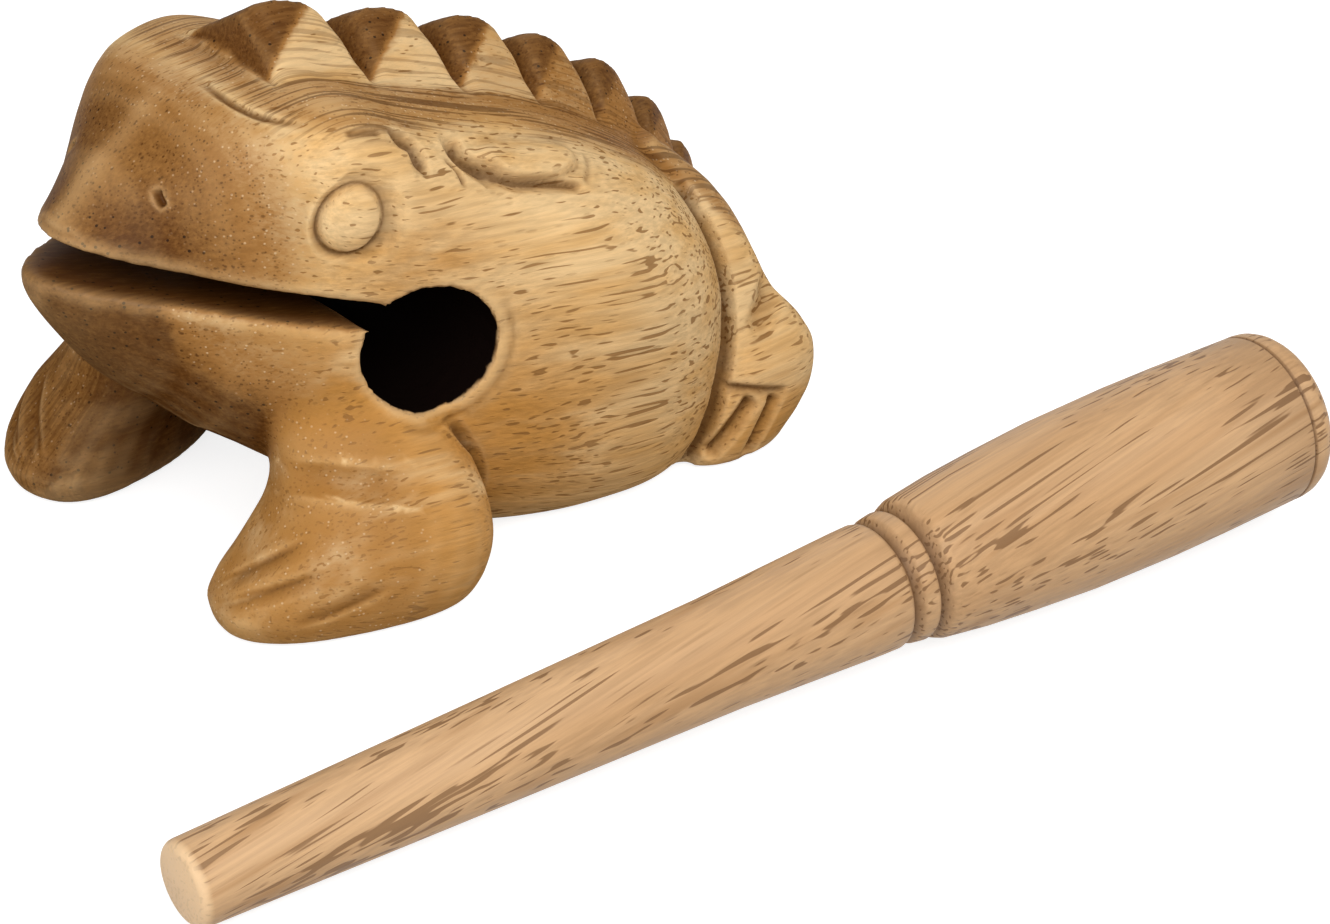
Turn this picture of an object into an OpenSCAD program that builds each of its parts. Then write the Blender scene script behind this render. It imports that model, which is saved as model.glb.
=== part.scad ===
// Frog guiro: a frog carved from one block of wood, and the turned stick that plays it.
// Millimetres, +Z up. The frog faces -Y and rests on z = 0. Its left side is +X.
// The stick lies loose on the same ground, beside the frog's left side.

/* [Frog block] */
// Carved body from the lower lip to the rump, without the spines
trunk_len = 98.5; // [85:0.5:120]
// Body width at the belly
trunk_w = 66; // [56:0.5:80]
// Height of the crown above the ground, without the spines
crown_h = 62.5; // [56:0.5:72]

/* [Stick bore] */
// Diameter of the hole drilled across the head
bore_d = 16.4; // [13:0.1:19]
// Bore axis behind the lower lip
bore_setback = 38.5; // [34:0.5:43]
// Bore axis above the ground
bore_height = 31.4; // [27:0.1:35]

/* [Mouth slot] */
// Height of the saw cut at the lips
lip_gap = 4.5; // [3:0.1:8]
// Height of the saw cut where it runs into the bore
throat_gap = 2.9; // [1.5:0.1:4]
// Floor of the saw cut at the lips, above the ground
lip_height = 43.9; // [41:0.1:46]
// Floor of the saw cut at the bore, above the bore axis
throat_rise = 2.2; // [0:0.1:5.5]

/* [Spines] */
// How many spines run down the back
spine_count = 7; // [4:1:9]
// Height of a spine above the back
spine_h = 6.5; // [3:0.1:10]
// Half the width of a spine at its foot
spine_half_w = 8.5; // [6:0.1:16]
// Length of each spine against the one before it
spine_taper = 0.9; // [0.85:0.005:1]
// Notch in front of the first spine, behind the lower lip
crown_setback = 29.2; // [20:0.1:35]
// Last notch ahead of the rump, along the back
tail_gap = 5; // [2:0.1:10]

/* [Eyes] */
// Eye disc along the body
eye_len = 8.8; // [6:0.1:14]
// Eye disc up the cheek
eye_tall = 8.8; // [6:0.1:13]
// Eye disc standing proud of the cheek
eye_proud = 1; // [0.4:0.1:2]
// Eye centre behind the lower lip
eye_setback = 29.7; // [26:0.1:34]
// Eye centre above the ground
eye_height = 50.1; // [47:0.1:52]

/* [Front legs] */
// Outside width across the front feet
front_feet_w = 72.5; // [66:0.5:84]
// Length of a front foot
front_foot_len = 36; // [30:0.5:42]
// Width of a front foot
front_foot_w = 21; // [17:0.5:25]
// Tip of a front foot behind the lower lip
front_foot_setback = 9; // [5:0.5:16]
// Turn of a front foot towards the middle
front_foot_turn = 18; // [0:1:30]
// Root of a front leg above the ground
front_leg_h = 32; // [28:0.5:36]

/* [Hind legs] */
// Outside width across the hind feet
hind_feet_w = 63; // [58:0.5:72]
// Length of a hind foot
hind_foot_len = 22; // [18:0.5:27]
// Width of a hind foot
hind_foot_w = 16; // [13:0.5:20]
// Heel of a hind foot behind the lower lip
hind_heel_setback = 100; // [95:0.5:104]
// Root of a hind leg above the ground
hind_leg_h = 38; // [34:0.5:41]

/* [Stick] */
// Length of the stick
stick_len = 159.5; // [140:0.5:190]
// Diameter at the thin end
stick_tip_d = 10.4; // [7:0.1:13]
// Diameter at the widest ring of the handle
stick_handle_d = 22.4; // [19:0.1:27]
// Slack of the thin part in the bore
stick_slack = 0.6; // [0.3:0.1:1.5]
// Collar between the two turned grooves, from the handle end
stick_collar_setback = 62; // [52:0.5:75]
// Width of the collar
stick_collar_w = 3.7; // [3:0.1:6]
// Width of one turned groove
stick_groove_w = 1.8; // [1:0.1:2.6]
// Depth of one turned groove
stick_groove_deep = 1.2; // [0.5:0.1:2]
// Scored ring from the handle end
stick_score_setback = 4.6; // [3.8:0.1:8]

/* [Layout] */
// Stick axis at its thin end, left of the frog's middle
stick_tip_x = 66.8; // [58:0.1:85]
// Stick thin end ahead of the lower lip
stick_tip_ahead = 27.5; // [10:0.5:40]
// Turn of the stick on the ground
stick_turn = 4.7; // [0:0.1:12]

/* [Hidden] */
lip_y = -51;
bore_y = lip_y + bore_setback;

// How finely the carved shapes are stepped. Trunk points crowd towards the back and the lips.
ring_half = 20;
ring_crowding = 1.5;
snout_rings = 15;
snout_crowding = 1.3;
spine_rings = 8;
leg_points = 24;
leg_steps = 15;

// Stations down the trunk, read by eye from the photograph. Each holds the place along the
// trunk, the half width, the underside, the widest height, the back, and how square the
// section is above and below. Places are shares of the length, half width and height.
trunk_stations = [
    [0.00, 0.05, 0.65, 0.68, 0.71, 2.0, 2.0],
    [0.01, 0.10, 0.62, 0.69, 0.74, 2.0, 2.0],
    [0.03, 0.18, 0.57, 0.69, 0.77, 2.0, 2.0],
    [0.06, 0.26, 0.50, 0.68, 0.80, 2.0, 2.0],
    [0.10, 0.35, 0.42, 0.67, 0.84, 2.1, 2.2],
    [0.14, 0.43, 0.37, 0.66, 0.89, 2.3, 2.5],
    [0.17, 0.50, 0.32, 0.64, 0.95, 3.0, 2.9],
    [0.21, 0.58, 0.28, 0.61, 0.99, 4.0, 3.4],
    [0.26, 0.67, 0.22, 0.58, 1.00, 4.8, 4.0],
    [0.34, 0.76, 0.12, 0.54, 1.00, 4.6, 4.2],
    [0.43, 0.85, 0.02, 0.50, 0.95, 3.2, 3.8],
    [0.54, 0.94, -0.05, 0.46, 0.89, 2.4, 3.4],
    [0.64, 1.00, -0.06, 0.42, 0.83, 2.2, 3.6],
    [0.74, 0.98, -0.06, 0.38, 0.75, 2.1, 3.8],
    [0.83, 0.87, -0.05, 0.34, 0.66, 2.0, 3.2],
    [0.91, 0.61, -0.02, 0.29, 0.54, 2.0, 2.6],
    [0.97, 0.36, 0.05, 0.22, 0.40, 2.0, 2.2],
    [1.00, 0.11, 0.13, 0.19, 0.26, 2.0, 2.0],
];

// Stations up a front leg: height, forward shift, outward shift, length and width.
// Heights are shares of the leg's root height, the rest of the foot's length or width.
front_leg_stations = [
    [-0.10, 0.02, -0.10, 0.80, 0.74],
    [0.12, 0.03, -0.03, 0.96, 0.94],
    [0.28, -0.04, -0.01, 0.88, 0.98],
    [0.44, -0.12, -0.09, 0.72, 0.96],
    [0.58, -0.14, -0.23, 0.63, 0.90],
    [0.78, -0.15, -0.43, 0.58, 0.80],
    [1.00, -0.16, -0.62, 0.48, 0.60],
];

// Stations up a hind leg, in the same order: the foot, the knee, then the thigh.
hind_leg_stations = [
    [-0.10, 0.14, -0.06, 0.74, 0.80],
    [0.05, 0.12, -0.02, 0.82, 0.92],
    [0.16, 0.04, 0.00, 0.96, 1.00],
    [0.27, -0.02, 0.00, 0.96, 1.00],
    [0.38, -0.04, -0.04, 0.86, 0.96],
    [0.47, -0.02, -0.16, 0.68, 0.80],
    [0.55, 0.00, -0.24, 0.60, 0.70],
    [0.70, 0.04, -0.41, 0.56, 0.68],
    [0.85, 0.11, -0.66, 0.52, 0.64],
    [1.00, 0.26, -1.05, 0.42, 0.54],
];
leg_squareness = 2.5;

// Slope of a column of stations at one station, from its neighbours.
function station_slope(list, i, column) =
    let (a = max(i - 1, 0), b = min(i + 1, len(list) - 1))
    (list[b][column] - list[a][column]) / (list[b][0] - list[a][0]);

// The station that starts the span holding this place.
function span_start(list, place) =
    max([for (i = [0 : len(list) - 2]) if (i == 0 || list[i][0] <= place) i]);

// Smooth value of one column of stations at any place between them.
function station(list, place, column) =
    let (i = span_start(list, place))
    let (wide = list[i + 1][0] - list[i][0])
    let (s = (place - list[i][0]) / wide)
    let (a = list[i][column], b = list[i + 1][column])
    let (da = station_slope(list, i, column) * wide)
    let (db = station_slope(list, i + 1, column) * wide)
    a * (1 + 2 * s) * (1 - s) * (1 - s) + da * s * (1 - s) * (1 - s)
    + b * s * s * (3 - 2 * s) - db * s * s * (1 - s);

// Cosine or sine bent from a circle towards a rectangle. Squareness 2 is the circle.
function squared_off(value, squareness) = sign(value) * pow(abs(value), 2 / squareness);

// A solid skinned over rings that all have the same number of points.
module skin(rings) {
    count = len(rings[0]);
    end = count * (len(rings) - 1);
    sides = [
        for (i = [0 : len(rings) - 2], j = [0 : count - 1])
            let (a = i * count + j, b = i * count + (j + 1) % count)
            each [[a, b + count, b], [a, a + count, b + count]]
    ];
    first_cap = [for (j = [1 : count - 2]) [0, j, j + 1]];
    last_cap = [for (j = [1 : count - 2]) [end, end + j + 1, end + j]];
    polyhedron([for (ring = rings) each ring], concat(sides, first_cap, last_cap));
}

function trunk_half_w(place) = trunk_w / 2 * station(trunk_stations, place, 1);
function trunk_low(place) = crown_h * station(trunk_stations, place, 2);
function trunk_mid(place) = crown_h * station(trunk_stations, place, 3);
function trunk_top(place) = crown_h * station(trunk_stations, place, 4);
function trunk_square_above(place) = station(trunk_stations, place, 5);
function trunk_square_below(place) = station(trunk_stations, place, 6);

function back_point(place) = [lip_y + trunk_len * place, trunk_top(place)];

// Way out of the back, in the frog's middle plane.
function back_out(place) =
    let (a = back_point(max(place - 0.01, 0)), b = back_point(min(place + 0.01, 1)))
    let (along = (b - a) / norm(b - a))
    [-along[1], along[0]];

// Distance along the back from the first notch, as a list that can be looked up.
arc_steps = 40;
arc_start = crown_setback / trunk_len;
arc_places = [for (i = [0 : arc_steps]) arc_start + (1 - arc_start) * i / arc_steps];
function arc_step(i) = norm(back_point(arc_places[i]) - back_point(arc_places[i - 1]));
function arc_to(i) = i == 0 ? 0 : arc_to(i - 1) + arc_step(i);
arc_lookup = [for (i = [0 : arc_steps]) [arc_to(i), arc_places[i]]];

// Notches down the back: each spine is a little shorter than the one before it.
spine_row = arc_to(arc_steps) - tail_gap;
function taper_sum(i) = i == 0 ? 0 : taper_sum(i - 1) + pow(spine_taper, i - 1);
function notch(i) = spine_row * taper_sum(i) / taper_sum(spine_count);

// The ridge is a gable with a notch cut across it between two spines. The notch leaves the
// height that spine_rise gives, and the two meet in a rounded edge. Heights are shares. The
// spines lean forward, with their tops before the middle of their length.
spine_roundness = 2.2;
spine_fullness = 1.3;
spine_edge = 4;
spine_lean = 0.85;
function spine_rise(share) =
    spine_fullness * (1 - pow(abs(2 * pow(share, spine_lean) - 1), spine_roundness));
function soft_min(a, b) = a * b / pow(pow(a, spine_edge) + pow(b, spine_edge), 1 / spine_edge);
function crest_share(rise, gable) =
    rise <= 0 || gable <= 0 ? 0 : soft_min(rise, gable) / soft_min(spine_fullness, 1);

// A spine's foot stays inside this share of the back's half width.
spine_foot_limit = 0.8;

// One ring of the trunk, from the underside up the right side to the back and down the left.
function trunk_ring(place, rise) =
    let (w = trunk_half_w(place), mid = trunk_mid(place))
    let (foot = min(spine_half_w, spine_foot_limit * w))
    let (out = back_out(place))
    [
        for (j = [0 : 2 * ring_half - 1])
            let (up = j <= ring_half ? j / ring_half : 2 - j / ring_half)
            let (side = j <= ring_half ? -1 : 1)
            let (turn = 90 - 180 * pow(1 - up, ring_crowding))
            let (square = turn > 0 ? trunk_square_above(place) : trunk_square_below(place))
            let (tall = turn > 0 ? trunk_top(place) - mid : mid - trunk_low(place))
            let (x = side * w * squared_off(max(cos(turn), 0), square))
            let (z = mid + tall * squared_off(sin(turn), square))
            let (crest = turn > 0 ? spine_h * crest_share(rise, 1 - abs(x) / foot) : 0)
            [x, lip_y + trunk_len * place + crest * out[0], z + crest * out[1]]
    ];

module trunk() {
    snout = [
        for (i = [0 : snout_rings - 1])
            trunk_ring(arc_start * pow(i / snout_rings, snout_crowding), 0)
    ];
    back = [
        for (i = [0 : spine_count - 1], step = [0 : spine_rings - 1])
            let (share = step / spine_rings)
            let (arc = notch(i) + share * (notch(i + 1) - notch(i)))
            trunk_ring(lookup(arc, arc_lookup), spine_rise(share))
    ];
    tail = [trunk_ring(lookup(spine_row, arc_lookup), 0), trunk_ring(1, 0)];
    skin(concat(snout, back, tail));
}

// Half width of the cheek at any height above the mouth.
function cheek_x(y, z) =
    let (place = (y - lip_y) / trunk_len)
    let (mid = trunk_mid(place), square = trunk_square_above(place))
    let (up = (z - mid) / (trunk_top(place) - mid))
    trunk_half_w(place) * pow(1 - pow(max(up, 0), square), 1 / square);

// A low domed disc lying on the cheek, rooted in it so that the two are one piece.
eye_root = 2.5;
module eye() {
    y = lip_y + eye_setback;
    z = eye_height;
    along = [cheek_x(y + 1, z) - cheek_x(y - 1, z), 2, 0];
    upward = [cheek_x(y, z + 1) - cheek_x(y, z - 1), 0, 2];
    out = cross(along, upward) / norm(cross(along, upward));
    across = along / norm(along) * eye_len / 2;
    aloft = upward / norm(upward) * eye_tall / 2;
    centre = [cheek_x(y, z), y, z];
    dome = [[1, -eye_root], [1, 0.4 * eye_proud], [0.88, 0.8 * eye_proud], [0.6, eye_proud]];
    skin([
        for (step = dome) [
            for (j = [0 : leg_points - 1])
                let (t = 360 * j / leg_points)
                centre + out * step[1] + step[0] * (across * cos(t) + aloft * sin(t))
        ]
    ]);
}

// One ring of a leg, level with the ground. The foot's length runs back from its toes.
function leg_ring(list, place, root_h, length, width, turn) =
    let (forward = length * station(list, place, 1), outward = width * station(list, place, 2))
    let (a = length / 2 * station(list, place, 3), b = width / 2 * station(list, place, 4))
    [
        for (j = [0 : leg_points - 1])
            let (t = 360 * j / leg_points)
            let (x = b * squared_off(cos(t), leg_squareness))
            let (y = a * squared_off(sin(t), leg_squareness))
            [
                outward + x * cos(turn) - y * sin(turn),
                x * sin(turn) + y * cos(turn) - forward,
                root_h * place
            ]
    ];

module leg(list, root_h, length, width, turn) {
    low = list[0][0];
    places = [for (i = [0 : leg_steps]) low + (1 - low) * i / leg_steps];
    skin([for (place = places) leg_ring(list, place, root_h, length, width, turn)]);
}

module front_leg() {
    x = (front_feet_w - front_foot_w) / 2;
    y = lip_y + front_foot_setback + front_foot_len / 2;
    translate([x, y, 0])
        leg(front_leg_stations, front_leg_h, front_foot_len, front_foot_w, -front_foot_turn);
}

module hind_leg() {
    x = (hind_feet_w - hind_foot_w) / 2;
    y = lip_y + hind_heel_setback - hind_foot_len / 2;
    translate([x, y, 0])
        leg(hind_leg_stations, hind_leg_h, hind_foot_len, hind_foot_w, 0);
}

module both_sides() {
    children();
    mirror([1, 0, 0]) children();
}

// The saw cut of the mouth, narrowing back from the lips into the top of the bore.
module mouth_slot() {
    ahead = 8;
    throat = bore_height + throat_rise;
    floor_slope = (lip_height - throat) / bore_setback;
    roof_slope = (lip_height + lip_gap - throat - throat_gap) / bore_setback;
    rotate([90, 0, 90]) linear_extrude(trunk_w, center = true) polygon([
        [lip_y - ahead, lip_height + floor_slope * ahead],
        [bore_y, throat],
        [bore_y, throat + throat_gap],
        [lip_y - ahead, lip_height + lip_gap + roof_slope * ahead],
    ]);
}

module stick_bore() {
    translate([0, bore_y, bore_height]) rotate([0, 90, 0])
        cylinder(d = bore_d, h = 2 * trunk_w, center = true, $fn = 96);
}

// Everything under the ground is sawn off, which leaves the belly and the four soles flat.
module ground() {
    translate([-trunk_w, -trunk_len, -crown_h]) cube([2 * trunk_w, 2 * trunk_len, crown_h]);
}

module frog_body() {
    color([0.85, 0.68, 0.45]) difference() {
        union() {
            trunk();
            both_sides() eye();
            both_sides() front_leg();
            both_sides() hind_leg();
        }
        mouth_slot();
        stick_bore();
        ground();
    }
}

// Rings of the stick, from its thin end. The thin part swells towards its neck.
tip_r = stick_tip_d / 2;
tip_round = 1.4;
tip_round_turn = 75;
neck_r = (bore_d - stick_slack) / 2;
collar_at = stick_len - stick_collar_setback;
collar_flare = 0.3;
near_groove = collar_at - stick_collar_w / 2;
far_groove = collar_at + stick_collar_w / 2;
groove_half = stick_groove_w / 2;
neck_at = near_groove - groove_half;

// Shares of the thin part's length and widening.
thin_stations = [[0.76, 0.62], [0.97, 0.97], [1, 1]];

// The handle swells from its shoulder to its widest ring, then narrows a little to its end.
handle_r = stick_handle_d / 2;
shoulder_at = far_groove + groove_half;
widest_setback = 24;
widest_at = stick_len - widest_setback;
end_narrowing = 0.3;
end_r = handle_r - end_narrowing;
end_round = 3.2;
end_round_turn = 80;
end_crown = 0.4;

// Shares of the swelling part's length and widening.
handle_stations = [[0, 0.18], [0.03, 0.32], [0.2, 0.56], [0.4, 0.74], [0.65, 0.92], [1, 1]];

// The scored ring is a fine cut that is part of the handle.
score_at = stick_len - stick_score_setback;
score_w = 0.5;
score_deep = 0.35;

// A quarter round, as outline points, about a centre on the outline's inside.
function round_edge(along, r, size, from, to) = [
    for (i = [0 : 6])
        let (t = from + (to - from) * i / 6)
        [r - size + size * cos(t), along + size * sin(t)]
];

stick_outline = concat(
    [[0, 0]],
    round_edge(tip_round, tip_r, tip_round, -tip_round_turn, 0),
    [for (s = thin_stations) [tip_r + s[1] * (neck_r - tip_r), neck_at * s[0]]],
    [
        [neck_r - stick_groove_deep, near_groove],
        [neck_r, near_groove + groove_half],
        [neck_r + collar_flare, far_groove - groove_half],
        [neck_r - stick_groove_deep, far_groove],
    ],
    [
        for (s = handle_stations)
            [neck_r + s[1] * (handle_r - neck_r), shoulder_at + s[0] * (widest_at - shoulder_at)]
    ],
    [
        [end_r, score_at - score_w / 2],
        [end_r - score_deep, score_at],
        [end_r, score_at + score_w / 2],
    ],
    round_edge(stick_len - end_crown - end_round, end_r, end_round, 0, end_round_turn),
    [[0, stick_len]]
);

// The stick rests on its thin end and on the ring of its handle that meets the ground first.
handle_rings = [for (p = stick_outline) if (p[1] > neck_at) p];
rest_tilt = max([for (p = handle_rings) atan((p[0] - tip_r) / (p[1] - tip_round))]);
rest_height = tip_r * cos(rest_tilt) - tip_round * sin(rest_tilt);

module scraper_stick() {
    color([0.88, 0.73, 0.53])
        translate([stick_tip_x, lip_y - stick_tip_ahead, rest_height])
        rotate([0, 0, -stick_turn])
        rotate([rest_tilt - 90, 0, 0])
        rotate_extrude($fn = 96) polygon(stick_outline);
}

frog_body();
scraper_stick();
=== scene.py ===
# Frog guiro: a frog carved from one block of wood, and the turned stick that plays it.
import math

import bmesh
import bpy
import numpy as np
from mathutils import Euler, Matrix, Vector, noise


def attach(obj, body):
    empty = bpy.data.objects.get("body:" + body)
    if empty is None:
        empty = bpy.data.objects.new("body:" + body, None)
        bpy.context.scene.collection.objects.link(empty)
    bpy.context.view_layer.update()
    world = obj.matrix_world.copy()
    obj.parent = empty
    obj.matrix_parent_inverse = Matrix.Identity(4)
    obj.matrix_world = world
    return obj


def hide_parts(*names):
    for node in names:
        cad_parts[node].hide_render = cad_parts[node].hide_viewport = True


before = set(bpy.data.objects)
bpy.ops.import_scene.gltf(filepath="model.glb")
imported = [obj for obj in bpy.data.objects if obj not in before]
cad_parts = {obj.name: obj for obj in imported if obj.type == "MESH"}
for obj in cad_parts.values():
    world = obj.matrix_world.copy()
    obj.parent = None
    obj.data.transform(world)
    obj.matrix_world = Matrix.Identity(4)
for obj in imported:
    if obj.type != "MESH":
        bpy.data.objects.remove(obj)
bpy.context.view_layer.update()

# The frog's block. One billet of pale, open-pored hardwood, sawn to the outline of a sitting frog,
# with a hole drilled across the head and a saw cut run in from the lips. It starts here as the
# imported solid, laid out again on an even grid that is fine enough to carve.
MM = 0.001  # In metres. Every size below is in millimetres, except on the stage.
GRID = 0.62
MERGE = 0.01

frog = bpy.data.objects.new("frog_carving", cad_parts["frog_body"].data.copy())
bpy.context.scene.collection.objects.link(frog)
frog.data.materials.clear()
billet = bmesh.new()
billet.from_mesh(frog.data)
bmesh.ops.remove_doubles(billet, verts=billet.verts, dist=MERGE * MM)
billet.to_mesh(frog.data)
billet.free()
even_grid = frog.modifiers.new("even_grid", "REMESH")
even_grid.mode = "VOXEL"
even_grid.voxel_size = GRID * MM
gridded = frog.evaluated_get(bpy.context.evaluated_depsgraph_get())
frog.data = bpy.data.meshes.new_from_object(gridded)
frog.modifiers.clear()


def read_points(mesh):
    """The mesh's points as rows of millimetres."""
    flat = np.empty(3 * len(mesh.vertices))
    mesh.vertices.foreach_get("co", flat)
    return flat.reshape(-1, 3) / MM


def read_normals(mesh):
    flat = np.empty(3 * len(mesh.vertices))
    mesh.vertices.foreach_get("normal", flat)
    return flat.reshape(-1, 3)


def read_edges(mesh):
    flat = np.empty(2 * len(mesh.edges), dtype=np.int32)
    mesh.edges.foreach_get("vertices", flat)
    return flat.reshape(-1, 2)


def write_points(mesh, points):
    mesh.vertices.foreach_set("co", (points * MM).ravel())
    mesh.update()


# Sanding. The sawn faces and the joins of the legs are rounded over by hand, while the drilled hole
# stays round. The spines and the upper lip are only eased, and the feet are rounded under.
LIP_Y = -51.0
BORE_Y, BORE_Z, BORE_R = -12.5, 31.4, 8.2
SLOT_FLOOR = (43.9, 33.6)
SLOT_ROOF = (48.4, 36.5)
NOTCHES = [(0, -21.8, 62.8), (0, -6.6, 58.7), (0, 6.9, 53.9), (0, 18.7, 48.6),
           (0, 28.7, 42.8), (0, 36.6, 36.0), (0, 42.4, 28.7), (0, 46.0, 21.0)]
SPINE_FOOT, SPINE_SPARED = 8.5, 0.15
TRUNK_MIDDLE, TRUNK_RADIUS = (0, 5, 10), 40.0
PULL, PUSH_BACK = 0.5, 0.505
SANDING_ROUNDS = 30
SHOULDER_JOIN = (23.0, -21.0, 23.5)
SHOULDER_REACH, SHOULDER_ROUNDS, SHOULDER_PUSH = 9.0, 80, 0.2
SOLE_HEIGHT, SOLE_ROUNDS = 4.0, 24
LOWER_LIP_REACH, LOWER_LIP_ROUNDS = 1.0, 10
UPPER_LIP_REACH, UPPER_LIP_ROUNDS = 0.7, 9
SNOUT_TIP = (0.0, -48.6, 48.2)
SNOUT_TIP_REACH, SNOUT_TIP_ROUNDS = 2.6, 16


def fall(gap, reach):
    """One at no gap, fading away past the reach."""
    return np.exp(-((gap / reach) ** 2))


def ramp(value, start, end):
    """A soft step from 0 at start to 1 at end."""
    t = np.clip((value - start) / (end - start), 0.0, 1.0)
    return t * t * (3.0 - 2.0 * t)


def from_place(points, place):
    return np.linalg.norm(points - np.array(place), axis=1)


def both_sides(place):
    """A place on the frog's left, and its twin on the right."""
    x, y, z = place
    return np.array((x, y, z)), np.array((-x, y, z))


def neighbour_mean(values, edges):
    """For every point, the mean of its neighbours' values."""
    a, b = edges.T
    count = len(values)
    total = np.bincount(a, values[b], count) + np.bincount(b, values[a], count)
    return total / np.maximum(np.bincount(edges.ravel(), minlength=count), 1)


def towards_middle(points, edges):
    """For every point, the way to the middle of its neighbours."""
    return np.stack([neighbour_mean(points[:, k], edges) for k in range(3)], axis=1) - points


def slot_heights(y):
    span = (LIP_Y, BORE_Y)
    return np.interp(y, span, SLOT_FLOOR), np.interp(y, span, SLOT_ROOF)


def beside_line(points, line):
    """Way from the nearest place on the line to each point, and the share of the line before it."""
    lengths = np.linalg.norm(np.diff(line, axis=0), axis=1)
    before = np.concatenate([[0.0], np.cumsum(lengths)])
    nearest = np.full(len(points), np.inf)
    way = np.zeros_like(points)
    share = np.zeros(len(points))
    for i, (a, b) in enumerate(zip(line, line[1:])):
        t = np.clip((points - a) @ (b - a) / lengths[i] ** 2, 0.0, 1.0)
        gap = points - a - t[:, None] * (b - a)
        distance = np.linalg.norm(gap, axis=1)
        closer = distance < nearest
        nearest[closer] = distance[closer]
        way[closer] = gap[closer]
        share[closer] = (before[i] + t[closer] * lengths[i]) / before[-1]
    return way, share


def spine_place(points):
    """For every point, how far it belongs to the row of spines, which spine it is on, counted from
    the front, and the share of that spine before it."""
    row = np.array(NOTCHES, dtype=float)
    way, share = beside_line(points * (0, 1, 1), row)
    outward = points * (0, 1, 1) - TRUNK_MIDDLE
    above = np.einsum("ij,ij->i", way, outward) / TRUNK_RADIUS
    across = 1.0 - ramp(np.abs(points[:, 0]), SPINE_FOOT + 0.5, SPINE_FOOT + 2.0)
    inside = ramp(share, 0.0, 0.004) * ramp(1.0 - share, 0.0, 0.01)
    lengths = np.linalg.norm(np.diff(row, axis=0), axis=1)
    ends = np.concatenate([[0.0], np.cumsum(lengths)]) / lengths.sum()
    count = np.interp(share, ends, np.arange(len(row)))
    return ramp(above, -1.4, 0.2) * across * inside, np.floor(count), count % 1.0


points = read_points(frog.data)
edges = read_edges(frog.data)
normals = read_normals(frog.data)
x, y, z = points.T
slot_floor, slot_roof = slot_heights(y)
in_mouth = y < BORE_Y
from_axis = np.stack([y - BORE_Y, z - BORE_Z], axis=1)
bore_gap = np.linalg.norm(from_axis, axis=1) - BORE_R
facing_out = np.einsum("ij,ij->i", normals[:, 1:], from_axis) / np.linalg.norm(from_axis, axis=1)
on_bore = (facing_out < -0.6) & (np.abs(bore_gap) < 0.8 * GRID)


def true_faces(points):
    """Puts the points of the drilled hole back on its round, and those of the soles on the ground."""
    from_axis = points[on_bore, 1:] - (BORE_Y, BORE_Z)
    distance = np.linalg.norm(from_axis, axis=1)[:, None]
    points[on_bore, 1:] = (BORE_Y, BORE_Z) + BORE_R * from_axis / distance
    points[:, 2] = np.maximum(points[:, 2], 0.0)
    return points


def sand(points, edges, softness, rounds, push_back=PUSH_BACK):
    """Each round pulls the points to the middle of their neighbours, and pushes them back as far
    or less, so that the wood isn't worn down as a whole."""
    for _ in range(rounds):
        for pull in (PULL, -push_back):
            points = points + pull * softness[:, None] * towards_middle(points, edges)
        points = true_faces(points)
    return points


points = sand(points, edges, 1.0 - SPINE_SPARED * spine_place(points)[0], SANDING_ROUNDS)
for join in both_sides(SHOULDER_JOIN):
    near_join = fall(from_place(points, join), SHOULDER_REACH) * (bore_gap > 1.0)
    points = sand(points, edges, near_join, SHOULDER_ROUNDS, push_back=SHOULDER_PUSH)
near_sole = 1.0 - ramp(points[:, 2], 0.0, SOLE_HEIGHT)
points = sand(points, edges, near_sole, SOLE_ROUNDS, push_back=0.0)
on_lower_lip = in_mouth * fall(points[:, 2] - slot_floor, LOWER_LIP_REACH) * ~on_bore
points = sand(points, edges, on_lower_lip, LOWER_LIP_ROUNDS, push_back=0.0)
on_upper_lip = in_mouth * fall(points[:, 2] - slot_roof, UPPER_LIP_REACH) * ~on_bore
points = sand(points, edges, on_upper_lip, UPPER_LIP_ROUNDS, push_back=0.0)
at_tip = fall(from_place(points, SNOUT_TIP), SNOUT_TIP_REACH)
points = sand(points, edges, at_tip, SNOUT_TIP_ROUNDS, push_back=0.0)
write_points(frog.data, points)

# The gouge cuts. Lines and hollows pushed into the wood with a small gouge or a knife: the brow marks, the
# crown's front edge, toes, leg folds and nostrils. Each cut is a line of places on the left side, with its
# width, its depth and, where one wall slopes otherwise, the side that does, and how dark it is painted as
# painted shade.
cuts = []


def bent(line, steps=6):
    """Places along a smooth bend through the corners of a line."""
    corners = np.array([line[0], *line, line[-1]], dtype=float)
    places = []
    for a, b, c, d in zip(corners, corners[1:], corners[2:], corners[3:]):
        for t in np.arange(steps) / steps:
            curve = 2 * a - 5 * b + 4 * c - d + t * (3 * b - a - 3 * c + d)
            places.append(b + 0.5 * t * (c - a + t * curve))
    return np.array([*places, corners[-1]])


SIDES = (np.array((1, 1, 1)), np.array((-1, 1, 1)))


def plan_cut(line, width, depth, slope=None, slope_to=(0, 0, 1), hollow=0, fade=0.2, groove_shade=0.5,
             sides=SIDES):
    """A cut along the line, on both sides of the frog or the given one. slope is its width on the side of
    slope_to. A hollow of 0 cuts a V, 1 a hollow with sharp edges and 2 a soft one. fade is the share of
    the line at each end where it runs out, and groove_shade is how dark the cut is painted, as painted
    shade."""
    for side in sides:
        wall = slope or width
        cuts.append((bent(line) * side, width, depth, wall, slope_to * side, hollow, fade, groove_shade))


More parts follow.
